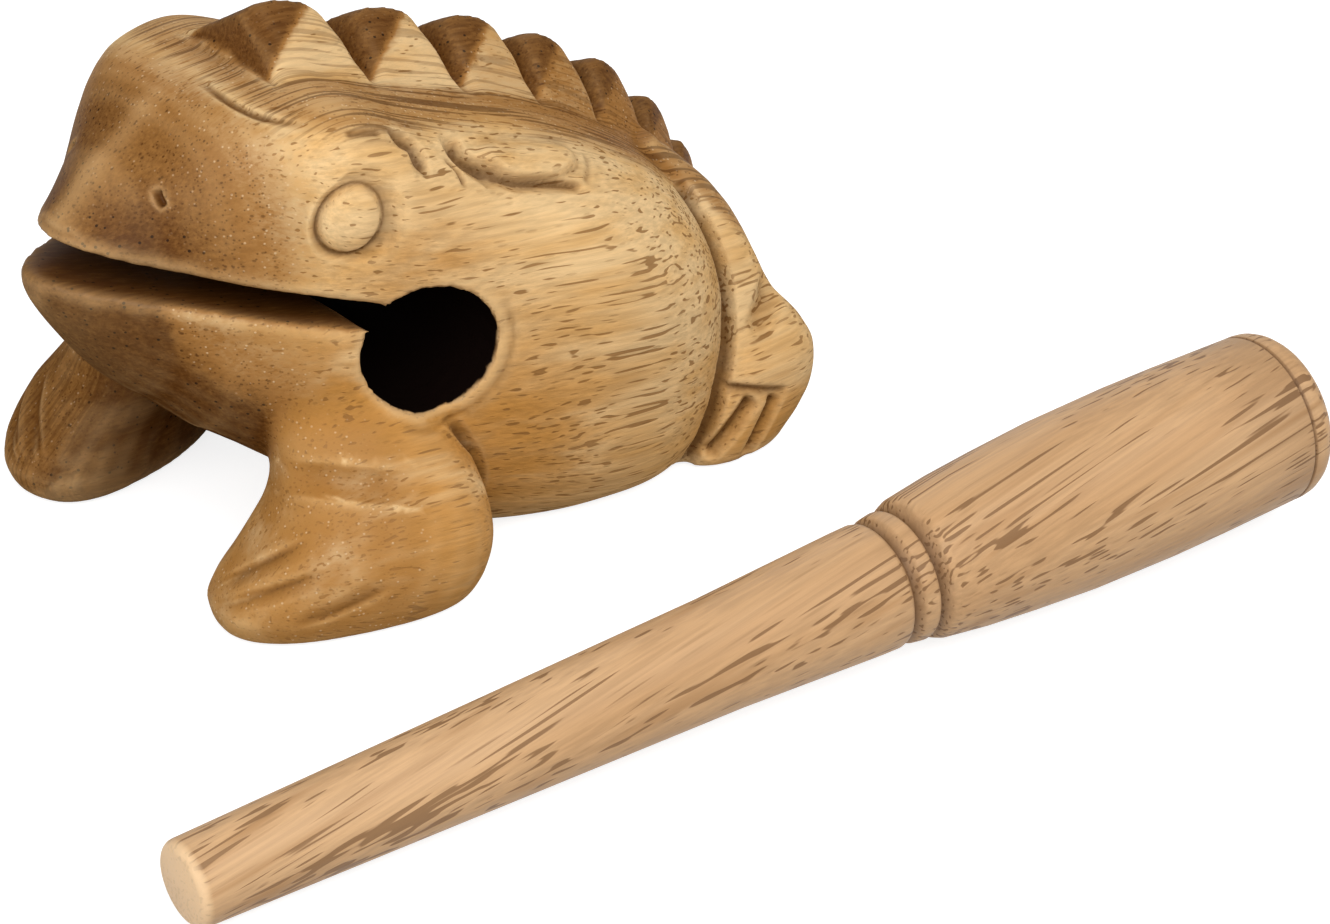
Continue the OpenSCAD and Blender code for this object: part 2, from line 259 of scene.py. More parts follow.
# Crown edge, on the left only, brow line, brow crescent, the short knife line behind it and the
# scoop before the flap.
plan_cut([(1, -26.7, 62.4), (5, -27.3, 62.2), (10, -27.4, 61.9), (14.2, -26.1, 61.5),
          (18.4, -22.3, 60.6)],
         0.55, 0.8, slope=1.0, slope_to=(0, -1, 0), fade=0.45, groove_shade=1.2, sides=SIDES[:1])
plan_cut([(20.3, -19.7, 59.6), (20.7, -17.2, 59.2), (20.8, -14.3, 58.4)], 0.8, 0.4)
plan_cut([(20.6, -13.7, 58.3), (20.6, -11.7, 57.2), (21.2, -10.1, 56), (22.9, -10, 54.2),
          (24.5, -10.9, 52.3)],
         0.9, 1.8, slope=2.3, slope_to=(0, -1, 0), fade=0.3, groove_shade=0.85)
plan_cut([(22.2, -6.7, 53.4), (23.4, -5.4, 51.7), (25, -5.4, 49.7)], 0.55, 0.8, fade=0.3)
plan_cut([(19.0, -2.2, 54.1), (21.0, -3.0, 52.8), (22.3, -1.6, 51.2), (23.7, 1.2, 48.9)],
         0.8, 2.4, slope=3.0, slope_to=(0, -1, -0.6), fade=0.3, groove_shade=0.9)
# Under the flap and behind it.
plan_cut([(22.9, -0.8, 50.3), (23.9, 1.9, 48.4), (24.2, 6.3, 46.9), (24.3, 13.2, 44.4)],
         0.45, 1.2, slope=1.8, slope_to=(0.3, 0, -1), fade=0.12, groove_shade=0.6)
plan_cut([(19.4, 17.2, 45.6), (22, 15.6, 45), (24.3, 13.2, 44.4)],
         0.5, 0.4, slope=1.0, slope_to=(0, 1, 0), groove_shade=0.2)
# Fold of the thigh against the belly, the hollow of the knee, the ledge over the hind toes and the
# two grooves between the toes.
plan_cut([(15.5, 34.2, 34.4), (18.3, 34.8, 31.9), (21.9, 35.3, 27.1), (24.3, 35, 22.2), (26.4, 33.3, 17.8),
          (28.1, 31.1, 13.9), (28.7, 29.5, 9.9), (28.5, 28.3, 6.8), (27.1, 27.2, 3.3), (25, 26.6, 0)],
         0.8, 2.4, slope=2.2, slope_to=(0, 1, 0), fade=0.06, groove_shade=1.2)
plan_cut([(23.6, 45.6, 20.8), (25.2, 42.6, 19.4), (26.5, 39.6, 17.4), (27.6, 37.2, 14.6)],
         3.0, 1.5, hollow=2, fade=0.3, groove_shade=0.2)
plan_cut([(29.2, 30.2, 12.4), (30.9, 34.3, 11.2), (31.4, 40.7, 9)],
         0.6, 1.0, slope=1.8, slope_to=(0, 0, -1))
plan_cut([(31.4, 35, 10), (30.8, 31.9, 6.4), (28.9, 28.6, 2)], 1.6, 2.0, fade=0.12, groove_shade=0.75)
plan_cut([(31.7, 38.6, 9.2), (31.3, 36.2, 4.8), (30, 34.4, 0)], 1.5, 1.8, fade=0.12, groove_shade=0.75)
# Hollow across the front leg, the fine toe lines, and the edge of the foot.
plan_cut([(20.2, -30.7, 17.8), (27.8, -26.8, 18.8), (32.2, -19, 17)],
         2.3, 0.9, hollow=1, fade=0.3, groove_shade=0.1)
plan_cut([(18.6, -40, 5.2), (24.4, -36.9, 10.2), (28.4, -32, 13.4)],
         0.8, 0.5, slope=2.2, slope_to=(0, 0, -1), fade=0.35)
plan_cut([(20.6, -41.4, 4.2), (27.5, -38, 8.2), (31.7, -32, 10.6)],
         0.8, 0.5, slope=2.0, slope_to=(0, 0, -1), fade=0.35)
plan_cut([(29.6, -38, 3.9), (33.5, -31.6, 5.7), (35.7, -24.9, 8.3)],
         0.7, 0.35, slope=2.0, slope_to=(0, 0, 1), fade=0.35)
# Arm fold behind the front leg.
plan_cut([(21.7, -10.1, 5.7), (24.2, -8, 6.9), (26.9, -6.8, 10.9), (27.6, -8, 15.7), (27.1, -11, 21),
          (26.8, -12.1, 22.4)],
         0.9, 1.0, slope=1.6, slope_to=(0, 1, 0))
# Nostrils, a stab of the gouge on either side of the snout.
plan_cut([(8.1, -37.3, 53.6), (8.9, -37.6, 52.7), (9.8, -37.6, 51.9)],
         0.9, 1.3, slope=0.6, slope_to=(1, 0, 0), fade=0.25, groove_shade=1.0)

# The oval eye: its centre, the way along the cheek and up it, the tilt and half sizes of the oval, a low
# dome in a sunk disc, and the ring cut round it, which is widest to the rear and painted dark as painted
# shade.
EYE = (24.0, -21.7, 50.2)
EYE_ALONG = Vector((0.38, 0.92, 0.0)).normalized()
EYE_UP = Vector((0.0, 0.12, 1.0)).normalized()
EYE_OUT = EYE_ALONG.cross(EYE_UP)
EYE_TILT = math.radians(52)
EYE_LONG, EYE_SHORT = 4.65, 3.75
EYE_DOME, EYE_SINK = 0.9, 0.7
RING_DEPTH, RING_SHADE = 1.1, 0.75
RING_IN, RING_OUT, RING_REAR = 0.6, 0.8, 2.2
# The flap behind the brow, a low pad.
FLAP = (21.4, 6.6, 48.9)
FLAP_ALONG = Vector((0.1, 0.94, -0.3)).normalized()
FLAP_UP = Vector((-0.6, 0.2, 0.75)).normalized()
FLAP_HALF = (8.4, 3.6)
FLAP_RISE, FLAP_THICK = 1.2, 4.0
# The low keel down the middle of the snout, and the fullness of its front over the lip.
KEEL_HALF, KEEL_RISE = 3.5, 0.4
FRONT_RISE, FRONT_OVER_LIP = 1.6, 8.5
FRONT_REACH, FRONT_HALF = 4.2, 10.0
# The knife line that each notch between two spines ends in, its width as a share of a spine.
KNIFE_WIDTH, KNIFE_DEPTH = 0.07, 0.5


def eye_place(points, centre, side):
    """Where each point lies on the eye's oval: 1 on its rim, and the cosine towards the rear."""
    apart = (points - centre) * (side, 1, 1)
    along, up = apart @ np.array(EYE_ALONG), apart @ np.array(EYE_UP)
    long_way = along * math.cos(EYE_TILT) + up * math.sin(EYE_TILT)
    short_way = up * math.cos(EYE_TILT) - along * math.sin(EYE_TILT)
    oval = np.hypot(long_way / EYE_LONG, short_way / EYE_SHORT)
    return oval, along / np.maximum(np.hypot(along, up), 0.01)


# The grid is made twice as fine where the cuts, the eyes' rings and the spines are.
FINE_REACH = 2.6
fine = spine_place(points)[0] > 0.5
for line, *_ in cuts:
    way, _ = beside_line(points, line)
    fine |= np.linalg.norm(way, axis=1) < FINE_REACH
for side, centre in zip((1, -1), both_sides(EYE)):
    oval, _ = eye_place(points, centre, side)
    fine |= (from_place(points, centre) < 1.8 * EYE_LONG) & (np.abs(oval - 1.0) < 0.5)
carving = bmesh.new()
carving.from_mesh(frog.data)
carving.verts.ensure_lookup_table()
fine_edges = [e for e in carving.edges if fine[e.verts[0].index] and fine[e.verts[1].index]]
bmesh.ops.subdivide_edges(carving, edges=fine_edges, cuts=1, use_grid_fill=True)
carving.to_mesh(frog.data)
carving.free()

points = read_points(frog.data)
edges = read_edges(frog.data)
normals = read_normals(frog.data)
soles = points[:, 2] < 0.01
painted_groove_shade = np.zeros(len(points))

for line, width, depth, slope, slope_to, hollow, fade, groove_shade in cuts:
    way, share = beside_line(points, line)
    reach = np.where(way @ slope_to > 0, slope, width)
    near = np.clip(np.linalg.norm(way, axis=1) / reach, 0.0, 1.0)
    bite = (1.0 - near ** 2) ** hollow if hollow else 1.0 - near
    ends = ramp(share, 0.0, fade) * ramp(1.0 - share, 0.0, fade)
    points -= normals * (depth * bite * ends)[:, None]
    painted_groove_shade = np.maximum(painted_groove_shade, groove_shade * bite * ends)

for side, centre in zip((1, -1), both_sides(EYE)):
    oval, rearward = eye_place(points, centre, side)
    rim_gap = (oval - 1.0) * EYE_SHORT
    outer = RING_OUT + RING_REAR * np.clip(rearward + 0.2, 0.0, 1.0)
    inner_wall = np.clip(1 + rim_gap / RING_IN, 0, 1)
    ring = np.where(rim_gap < 0, inner_wall, np.clip(1 - rim_gap / outer, 0, 1))
    disc = EYE_DOME * np.clip(1.0 - oval ** 2, 0.0, 1.0) - EYE_SINK * ramp(-oval, -1.05, -0.9)
    near_eye = from_place(points, centre) < 2.0 * EYE_LONG
    points += np.outer(near_eye * (disc - RING_DEPTH * ring), np.array(EYE_OUT) * (side, 1, 1))
    painted_groove_shade = np.maximum(painted_groove_shade, RING_SHADE * near_eye * ring ** 3)

for side, centre in zip((1, -1), both_sides(FLAP)):
    apart = (points - centre) * (side, 1, 1)
    lengthwise, upward = apart @ np.array(FLAP_ALONG), apart @ np.array(FLAP_UP)
    reach = np.hypot(lengthwise / FLAP_HALF[0], upward / FLAP_HALF[1])
    near_flap = np.abs(apart @ np.cross(FLAP_ALONG, FLAP_UP)) < FLAP_THICK
    pad = near_flap * (1.0 - ramp(reach, 0.75, 1.05)) * (1.0 - ramp(upward, -1.0, 3.2))
    points += normals * (FLAP_RISE * pad)[:, None]

x, y, z = points.T
keel = fall(x, KEEL_HALF)
on_snout = ramp(-y, 28.0, 34.0) * (1.0 - ramp(-y, 45.0, 50.0)) * (z > slot_heights(y)[1] + 1.5)
points += normals * (KEEL_RISE * keel * on_snout)[:, None]
over_lip = z - slot_heights(y)[1]
front = fall(over_lip - FRONT_OVER_LIP, FRONT_REACH) * fall(x, FRONT_HALF) * ramp(-y, 31.0, 36.0)
points += normals * (FRONT_RISE * front)[:, None]

spine_share, _, spine_part = spine_place(points)
from_notch = np.minimum(spine_part, 1.0 - spine_part)
knife = np.clip(1.0 - from_notch / KNIFE_WIDTH, 0.0, 1.0)
points -= normals * (KNIFE_DEPTH * knife * spine_share)[:, None]

# Hand work is never quite true: a slow waver all over, small chips round the drilled hole, and a
# faint worn groove below and behind it.
WAVER, WAVER_SIZE = 0.16, 9.0
CHIP, CHIP_SIZE = 0.14, 1.3
RIM_WIDTH, RIM_START, RIM_FULL = 0.8, 17.0, 22.0
WORN_GAP, WORN_WIDTH, WORN_DEPTH = 1.8, 0.35, 0.2
waver = np.array([noise.noise(Vector(p) / WAVER_SIZE) for p in points])
chips = np.array([noise.noise(Vector(p) / CHIP_SIZE) for p in points])
bore_gap = np.hypot(points[:, 1] - BORE_Y, points[:, 2] - BORE_Z) - BORE_R
on_cheek = ramp(np.abs(points[:, 0]), RIM_START, RIM_FULL)
at_rim = fall(bore_gap, RIM_WIDTH) * on_cheek
below_behind = points[:, 1] - BORE_Y - points[:, 2] + BORE_Z
worn_ring = fall(bore_gap - WORN_GAP, WORN_WIDTH) * ramp(below_behind, 2.0, 8.0) * on_cheek
points -= normals * (WORN_DEPTH * worn_ring)[:, None]
points += normals * (WAVER * waver + CHIP * chips * at_rim)[:, None]
points[:, 2] = np.maximum(points[:, 2], 0.0)
points[soles, 2] = 0.0
write_points(frog.data, points)
frog.data.shade_smooth()

# The scorching, with painted shade. A torch has browned the back, crown and spines, the snout, the chin
# and the far front leg, and sandpaper has taken the brown off again on the raised edges. Painted shade
# darkens the underside of the jaw, the far leg's inner side, the inside of the saw cut, the drilled hole,
# crevices and cuts, and painted highlights lighten edges. The mesh is painted with shares: scorched or
# shaded, in painted crevice shade, rubbed bare or highlit, amber, lined as the back is, polished and
# open-pored.
STRIP_EDGE_Y = (-32.0, -22.7, -8.3, 6.7, 22.3, 32.0, 42.0)
STRIP_EDGE_Z = (60.8, 60.2, 55.6, 51.0, 43.2, 36.3, 26.0)
# How brown each place is: 0 is bare wood, 1 is charred, and from 1.2 on it turns black, which only the
# drilled hole's painted shade reaches.
STRIP_TONE, SPINE_TONE, FLANK_TONE, SNOUT_TONE, CHIN_TONE = 0.5, 0.92, 0.16, 0.74, 0.36
FAR_LEG_TONE, NEAR_LEG_TONE, SLOT_SHADE_TONE, BORE_SHADE_TONE = 0.76, 0.36, 1.02, 1.6
LIP_SPOT, LIP_SPOT_REACH = (10, -41, 47), 6.0
# A bend of the surface that counts in full, close by and further out.
BEND_NEAR, BEND_FAR, BEND_ROUNDS = 0.06, 0.5, 14
# Painted highlights: bright dotted lines on the two edges of the hollow across the front leg.
ARRIS_HIGHLIGHT_LINES = ([(18.5, -30.0, 19.1), (26.4, -25.6, 20.8), (30.1, -18.1, 19.5)],
              [(19.4, -31.1, 15.5), (28.6, -27.4, 17.1), (33.5, -20.1, 14.9)])
LINE_WIDTH = 0.24
# Amber patches: the middle of each, its reach and its strength.
WARM_SPOTS = [((33, -4, 16), 16.0, 1.0), ((28, -29, 12), 19.0, 1.6), ((27, -12, 42), 8.0, 0.8),
              ((31, 38, 4), 10.0, 0.9), ((22, -22, 30), 8.0, 0.5), ((33, 18, 6), 14.0, 0.2)]
# Dotted end grain on the front leg's outer side.
LEG_DOTS, LEG_DOTS_REACH = (36, -18, 12), 10.0

points = read_points(frog.data)
normals = read_normals(frog.data)
edges = read_edges(frog.data)
x, y, z = points.T
nx, _, nz = normals.T
slot_floor, slot_roof = slot_heights(y)
in_mouth = y < BORE_Y
spine_share, spine_number, spine_part = spine_place(points)

# Back strip and crown, browner to the rear.
above_edge = z - np.interp(y, STRIP_EDGE_Y, STRIP_EDGE_Z)
on_strip = ramp(above_edge, -1.5, 2.0) * ramp(y, -29.0, -24.0)
scorch_and_shade = STRIP_TONE * on_strip * (0.85 + 0.3 * ramp(y, 0.0, 35.0))

# Spines: dark before the crest, pale down the flank in front and browner to the rear. The brown ends
# on the last one.
flank = ramp(spine_part - 0.7 + 0.72 * np.abs(x) / SPINE_FOOT, -0.06, 0.06)
flank_tone = FLANK_TONE + 0.4 * ramp(spine_number, 1.0, 4.0)
spine_tone = flank * flank_tone + (1.0 - flank) * SPINE_TONE
spine_tone *= 1.0 - 0.7 * ramp(spine_number + spine_part, 6.25, 6.8)
scorch_and_shade = np.where(spine_share > 0.4, spine_tone, scorch_and_shade)
lined = on_strip * (1.0 - spine_share * (1.0 - 0.5 * flank))

# Snout, darkest at the lips and on the far side, and the jaw, darkest in front, and with painted shade on
# the faces that look down underneath.
snout = SNOUT_TONE * ramp(-y, 20.0, 36.0) + 0.1 * ramp(-y, 34.0, 46.0)
snout += 0.22 * fall(from_place(points, LIP_SPOT), LIP_SPOT_REACH)
snout += 0.1 * ramp(-x, -1.0, 8.0) * ramp(-y, 24.0, 34.0)
scorch_and_shade = np.maximum(scorch_and_shade, snout * (z > slot_roof - 0.5))
chin = CHIN_TONE + 0.6 * ramp(-y, 38.5, 41.5) + 0.65 * ramp(-nz, -0.05, 0.35)
chin = np.minimum(chin, 1.0) * ramp(-y, 16.0, 32.0)
on_jaw = (z < slot_floor + 0.6) & (z > 12) & (y < -18)
scorch_and_shade = np.where(on_jaw, np.maximum(scorch_and_shade, chin), scorch_and_shade)

# Front legs: the far one well browned, and darker on its inner side, which faces the body, as painted
# shade; the near one only a little.
on_front_leg = (1.0 - ramp(z, 22.0, 30.0)) * (1.0 - ramp(y, -8.0, 0.0))
far_leg = ramp(-x, 6.0, 11.0) * on_front_leg
scorch_and_shade = np.maximum(scorch_and_shade, far_leg * (FAR_LEG_TONE + 0.24 * ramp(nx, 0.2, 0.6)))
lined = np.maximum(lined, 0.6 * far_leg)
near_leg = ramp(x, 6.0, 11.0) * on_front_leg * (1.0 - ramp(y, -24.0, -12.0))
scorch_and_shade = np.maximum(scorch_and_shade, NEAR_LEG_TONE * near_leg)

# Inside of the saw cut, painted dark, and the drilled hole, painted black: painted shade in both.
bore_gap = np.hypot(y - BORE_Y, z - BORE_Z) - BORE_R
level = (nz > 0.8) | (nz < -0.5)
in_slot = in_mouth & (z > slot_floor - 1.4) & (z < slot_roof + 0.25) & level
scorch_and_shade = np.where(in_slot, SLOT_SHADE_TONE, scorch_and_shade)
scorch_and_shade = np.where((bore_gap < 0.25) & (np.abs(nx) < 0.5), BORE_SHADE_TONE, scorch_and_shade)

# Painted shade in crevices and cuts, and edges rubbed bare and also lightened as painted highlights, from
# how the surface bends, close by and further out.
smoothed = points
for _ in range(BEND_ROUNDS):
    smoothed = smoothed + 0.5 * towards_middle(smoothed, edges)
near_bend = np.einsum("ij,ij->i", towards_middle(points, edges), normals) * (1.0 - 0.8 * spine_share)
near_bend /= BEND_NEAR
far_bend = np.einsum("ij,ij->i", smoothed - points, normals) / BEND_FAR
painted_crevice_shade = 0.6 * np.clip(near_bend, 0.0, 1.0) + 0.7 * np.clip(far_bend, 0.0, 1.0) + painted_groove_shade
worn_and_highlit = np.clip(-near_bend, 0.0, 1.0) + 0.6 * np.clip(-far_bend, 0.0, 1.0)
worn_and_highlit *= 1.0 - np.clip(2.0 * painted_groove_shade, 0.0, 1.0)
at_lips = in_mouth * np.maximum(fall(z - slot_floor, 2.4), 0.6 * fall(z - slot_roof, 1.6))
worn_and_highlit = np.minimum(worn_and_highlit * (1.0 - 0.75 * at_lips), 1.0)
worn_and_highlit += 1.2 * fall(bore_gap - 0.3, 0.3) * (np.abs(nx) > 0.3) * (np.abs(x) > RIM_START)
# A painted highlight down the keel of the snout.
worn_and_highlit += 0.25 * fall(x, 1.6) * ramp(-y, 30.0, 34.0) * (z > slot_roof)
# The painted highlight lines along the edges of the leg's hollow.
arris_highlights = np.zeros(len(points))
for line in ARRIS_HIGHLIGHT_LINES:
    way, _ = beside_line(points, bent(line))
    on_line = fall(np.linalg.norm(way, axis=1), LINE_WIDTH) * ramp(chips, -0.2, 0.15)
    arris_highlights = np.maximum(arris_highlights, 1.8 * on_line)
warm = np.zeros(len(points))
for middle, reach, strength in WARM_SPOTS:
    warm += strength * fall(from_place(points, middle), reach)

# Vessels show most low on the belly and towards the rear, and hardly at all high on the flank.
vessels = 0.45 + 0.44 * (1.0 - ramp(z, 34.0, 46.0)) * ramp(y, -8.0, 8.0) + 0.3 * ramp(y, 22.0, 36.0)
vessels += 0.5 * fall(from_place(points, LEG_DOTS), LEG_DOTS_REACH)
vessels *= 1.0 - 0.8 * spine_share


def soften(values, rounds):
    for _ in range(rounds):
        values = 0.5 * values + 0.5 * neighbour_mean(values, edges)
    return values


def paint(piece, name, values):
    layer = piece.data.attributes.new(name, "FLOAT", "POINT")
    layer.data.foreach_set("value", values.astype(np.float32))


paint(frog, "scorch_and_shade", soften(scorch_and_shade, 3))
paint(frog, "painted_crevice_shade", np.clip(soften(painted_crevice_shade, 2), 0.0, 1.0))
paint(frog, "worn_and_highlit", np.clip(soften(worn_and_highlit, 2), 0.0, 1.0) + arris_highlights)
paint(frog, "warm", np.clip(warm, 0.0, 1.0))
paint(frog, "lined", soften(lined, 2))
paint(frog, "polish", ramp(nz, -0.35, 0.2) * (1.0 - 0.8 * far_leg))
paint(frog, "vessels", np.clip(vessels, 0.0, 1.2))

# With the paint on, the grid is thinned where the wood is plain, and stays fine at the cuts.
KEPT_SHARE = 0.58
thinning = frog.modifiers.new("thinning", "DECIMATE")
thinning.ratio = KEPT_SHARE
thinned = frog.evaluated_get(bpy.context.evaluated_depsgraph_get())
frog.data = bpy.data.meshes.new_from_object(thinned)
frog.modifiers.clear()
frog.data.shade_smooth()


# The wood itself. Long vessel lines show as brown dashes along the grain and as dots on end grain,
# over fine fibres and slow clouds of colour. One node group draws them for the frog and the stick.
# Each size is the width across the grain and the length along it, in millimetres.
LEAN_SIZE, LEAN_ACROSS = (24.0, 50.0), 6.0
CROWD_SIZE = (7.0, 20.0)
STREAK_SIZE = (1.5, 24.0)
DASH_SIZE = (0.45, 10.0)
FIBRE_SIZE = (0.5, 14.0)
CLOUD_SIZE = (6.0, 45.0)
# Spots along the grain: the size of a cell, the spot's core and edge, and the share of cells with one.
PORES = ((0.7, 4.0), (0.12, 0.3), 0.45)


def add(tree, kind, feeds=None, **settings):
    """A node with its settings, its inputs set to values or fed from other nodes' outputs."""
    made = tree.nodes.new(kind)
    for name, value in settings.items():
        setattr(made, name, value)
    for name, value in (feeds or {}).items():
        if isinstance(value, bpy.types.NodeSocket):
            tree.links.new(value, made.inputs[name])
        else:
            made.inputs[name].default_value = value
    return made


def sum_up(tree, operation, a, b=0.0, c=0.0):
    return add(tree, "ShaderNodeMath", {0: a, 1: b, 2: c}, operation=operation).outputs[0]


def fade_between(tree, value, start, end, low=0.0, high=1.0):
    feeds = {"Value": value, "From Min": start, "From Max": end, "To Min": low, "To Max": high}
    return add(tree, "ShaderNodeMapRange", feeds, interpolation_type="SMOOTHSTEP").outputs[0]


def blend_colours(tree, share, a, b, how="MIX"):
    made = add(tree, "ShaderNodeMix", {0: share, 6: a, 7: b}, data_type="RGBA", blend_type=how)
    return made.outputs[2]


def on_vectors(tree, operation, a, b):
    return add(tree, "ShaderNodeVectorMath", {0: a, 1: b}, operation=operation).outputs[0]


def stretch(tree, vector, size):
    across, along = size
    return on_vectors(tree, "MULTIPLY", vector, (1.0 / across, 1.0 / along, 1.0 / across))


def scatter(tree, vector, size, core, share):
    """Spots along the grain, one to a cell, kept in the given share of the cells."""
    cells = add(tree, "ShaderNodeTexVoronoi", {"Vector": stretch(tree, vector, size), "Scale": 1.0})
    chance = add(tree, "ShaderNodeSeparateColor", {0: cells.outputs["Color"]}).outputs[0]
    spot = fade_between(tree, cells.outputs["Distance"], core[0], core[1], 1.0, 0.0)
    return sum_up(tree, "MULTIPLY", spot, sum_up(tree, "LESS_THAN", chance, share))


def clouds(tree, vector, size, detail=2.0):
    feeds = {"Vector": stretch(tree, vector, size), "Scale": 1.0, "Detail": detail, "Roughness": 0.6}
    return add(tree, "ShaderNodeTexNoise", feeds).outputs


wood = bpy.data.node_groups.new("wood_figure", "ShaderNodeTree")
for name, kind in (("Grain", "NodeSocketVector"), ("Crowding", "NodeSocketFloat")):
    wood.interface.new_socket(name, in_out="INPUT", socket_type=kind)
for name in ("Streaks", "Dashes", "Pores", "Fibres", "Clouds"):
    wood.interface.new_socket(name, in_out="OUTPUT", socket_type="NodeSocketFloat")
entry = wood.nodes.new("NodeGroupInput")
straight = entry.outputs["Grain"]
lean = on_vectors(wood, "SUBTRACT", clouds(wood, straight, LEAN_SIZE, 1.0)["Color"], (0.5, 0.5, 0.5))
lean = on_vectors(wood, "MULTIPLY", lean, (LEAN_ACROSS, 0.0, LEAN_ACROSS))
wavy = on_vectors(wood, "ADD", straight, lean)
crowd = fade_between(wood, clouds(wood, wavy, CROWD_SIZE)["Fac"], 0.34, 0.6)
crowd = sum_up(wood, "MULTIPLY", crowd, entry.outputs["Crowding"])
thin_out = sum_up(wood, "MULTIPLY_ADD", crowd, 0.15, -0.16)
streaks = fade_between(wood, clouds(wood, wavy, STREAK_SIZE, 0.5)["Fac"], 0.54, 0.76)
vessel_lines = sum_up(wood, "ADD", clouds(wood, wavy, DASH_SIZE, 0.0)["Fac"], thin_out)
figures = {
    "Streaks": sum_up(wood, "MULTIPLY", streaks, crowd),
    "Dashes": fade_between(wood, vessel_lines, 0.575, 0.655),
    "Pores": scatter(wood, wavy, *PORES),
    "Fibres": clouds(wood, wavy, FIBRE_SIZE, 4.0)["Fac"],
    "Clouds": clouds(wood, wavy, CLOUD_SIZE, 3.0)["Fac"],
}
leave = wood.nodes.new("NodeGroupOutput")
for name, value in figures.items():
    wood.links.new(value, leave.inputs[name])


def wood_figure(tree, vector, crowding):
    """The shared wood figure, laid along a vector in millimetres."""
    group = add(tree, "ShaderNodeGroup", node_tree=wood)
    tree.links.new(vector, group.inputs["Grain"])
    tree.links.new(crowding, group.inputs["Crowding"])
    return group.outputs


def read_shares(tree, names):
    """The shares painted on the mesh, by name."""
    return {name: add(tree, "ShaderNodeAttribute", attribute_name=name).outputs["Fac"] for name in names}


def grey(tree, value):
    return add(tree, "ShaderNodeCombineColor", {0: value, 1: value, 2: value}).outputs[0]


def tint(tree, mask, strength, below, colour):
    """The colour laid over what is below, where the mask shows, at the given strength."""
    return blend_colours(tree, sum_up(tree, "MULTIPLY", mask, strength), below, colour)


# The frog's finish: pale straw wood, gone amber low on the flanks, under the torch's browns and a thin
# coat of oil, with painted shade in crevices, cuts, under the jaw and in the saw cut and hole, and painted
# highlights on edges. Its grain falls a little to the rear. The scorched faces are specked dark where the
# pores are burnt and pale where dust fills them, and fine dark lines run along the back.
GRAIN_FALL = math.radians(6)
DUST_SPOTS = ((0.75, 0.85), (0.08, 0.26), 0.5)
BURNT_SPECKS = ((0.55, 0.65), (0.14, 0.3), 0.75)
BURNT_PITS = ((1.1, 1.3), (0.13, 0.2), 0.6)
BACK_LINE_SIZE, BACK_LINE_RISE = (0.5, 28.0), 0.07
PORE_DEPTH = 0.25
STRAW = (0.69, 0.475, 0.24, 1.0)
TAN = (0.60, 0.35, 0.13, 1.0)
AMBER = (0.42, 0.19, 0.038, 1.0)
STREAK_TAN = (0.42, 0.225, 0.075, 1.0)
DASH_BROWN = (0.21, 0.095, 0.026, 1.0)
TOAST = (0.30, 0.136, 0.035, 1.0)
CHAR_AND_SHADE = (0.080, 0.027, 0.005, 1.0)
SOOT_AND_SHADE = (0.004, 0.002, 0.0015, 1.0)
DUST = (0.68, 0.49, 0.29, 1.0)

finish = bpy.data.materials.new("oiled_frog_wood")
finish.use_nodes = True
tree = finish.node_tree
tree.nodes.clear()
place = add(tree, "ShaderNodeTexCoord").outputs["Object"]
lie = {"Vector": place, "Rotation": (GRAIN_FALL, 0.0, 0.0)}
on_frog = add(tree, "ShaderNodeMapping", lie).outputs[0]
grain = add(tree, "ShaderNodeVectorMath", {0: on_frog, "Scale": 1.0 / MM}, operation="SCALE").outputs[0]
painted = ("scorch_and_shade", "painted_crevice_shade", "worn_and_highlit", "warm", "vessels", "lined", "polish")
shares = read_shares(tree, painted)
figure = wood_figure(tree, grain, shares["vessels"])

pale = blend_colours(tree, fade_between(tree, figure["Clouds"], 0.38, 0.68), STRAW, TAN)
amber_share = sum_up(tree, "MULTIPLY", shares["warm"], fade_between(tree, figure["Clouds"], 0.2, 0.5))
pale = tint(tree, amber_share, 0.9, pale, AMBER)
fibre_shade = grey(tree, fade_between(tree, figure["Fibres"], 0.3, 0.7, 0.84, 1.1))
pale = blend_colours(tree, 1.0, pale, fibre_shade, "MULTIPLY")
pale = tint(tree, figure["Streaks"], 0.4, pale, STREAK_TAN)
pale = tint(tree, figure["Dashes"], 0.8, pale, DASH_BROWN)
pale = tint(tree, figure["Pores"], 0.25, pale, DASH_BROWN)

streaky = sum_up(tree, "SUBTRACT", figure["Fibres"], 0.5)
burn_and_shade = sum_up(tree, "MULTIPLY_ADD", streaky, 0.5, shares["scorch_and_shade"])
burn_and_shade = sum_up(tree, "SUBTRACT", burn_and_shade, sum_up(tree, "MULTIPLY", shares["worn_and_highlit"], 0.3))
burn_and_shade = sum_up(tree, "MULTIPLY", burn_and_shade, fade_between(tree, shares["scorch_and_shade"], 0.02, 0.2))
browned_and_shaded = blend_colours(tree, fade_between(tree, burn_and_shade, 0.05, 0.6), pale, TOAST)
browned_and_shaded = blend_colours(tree, fade_between(tree, burn_and_shade, 0.5, 1.1), browned_and_shaded, CHAR_AND_SHADE)
pitted = sum_up(tree, "MULTIPLY", figure["Pores"], fade_between(tree, burn_and_shade, 0.2, 0.7))
browned_and_shaded = tint(tree, pitted, 0.8, browned_and_shaded, CHAR_AND_SHADE)

